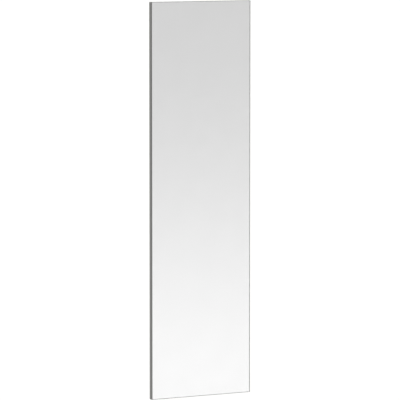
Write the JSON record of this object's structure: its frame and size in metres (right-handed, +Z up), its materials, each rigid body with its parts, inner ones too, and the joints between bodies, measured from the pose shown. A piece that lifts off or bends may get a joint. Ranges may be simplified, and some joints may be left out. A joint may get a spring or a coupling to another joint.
{
  "type": "hallway wall mirror",
  "caption": "Tall frameless wall mirror: silvered glass bonded to a grey edge-banded board, hung by Z-profile clips that hook behind matching clips on the wall.",
  "frame": {"origin": "on the wall, midway between the back faces of the two wall clips", "axes": "+Z up, +Y into the wall, so the mirror faces -Y, and +X to the right of someone who looks into it"},
  "size_m": [0.45, 0.0274, 1.6],
  "materials": {
    "clip_aluminium": "satin",
    "screw_steel": "satin",
    "float_glass": "polished",
    "silver_layer": "polished",
    "backing_film": "satin",
    "foam_tape": "matte",
    "mirror_adhesive": "satin",
    "grey_board": "matte",
    "grey_edge_band": "satin",
    "bumper_rubber": "matte"
  },
  "bodies": {
    "wall_bracket": {"wall_clip_left": "clip_aluminium", "wall_clip_right": "clip_aluminium"},
    "mirror": {"panel_clip_left": "clip_aluminium", "panel_clip_left_screw_1": "screw_steel", "panel_clip_left_screw_2": "screw_steel", "panel_clip_right": "clip_aluminium", "panel_clip_right_screw_1": "screw_steel", "panel_clip_right_screw_2": "screw_steel", "mirror_glass": "float_glass", "silvering": "silver_layer", "safety_film": "backing_film", "mounting_tape_1": "foam_tape", "mounting_tape_2": "foam_tape", "mounting_tape_3": "foam_tape", "mounting_tape_4": "foam_tape", "adhesive_bead_1": "mirror_adhesive", "adhesive_bead_2": "mirror_adhesive", "adhesive_bead_3": "mirror_adhesive", "backing_board": "grey_board", "edge_band_left": "grey_edge_band", "edge_band_right": "grey_edge_band", "edge_band_top": "grey_edge_band", "edge_band_bottom": "grey_edge_band", "bumper_left": "bumper_rubber", "bumper_right": "bumper_rubber"}
  },
  "joints": [
    {"name": "lift_off", "type": "slide", "parent": "wall_bracket", "child": "mirror", "axis": [0, 0, 1], "range_m": [0, 0.014]}
  ]
}
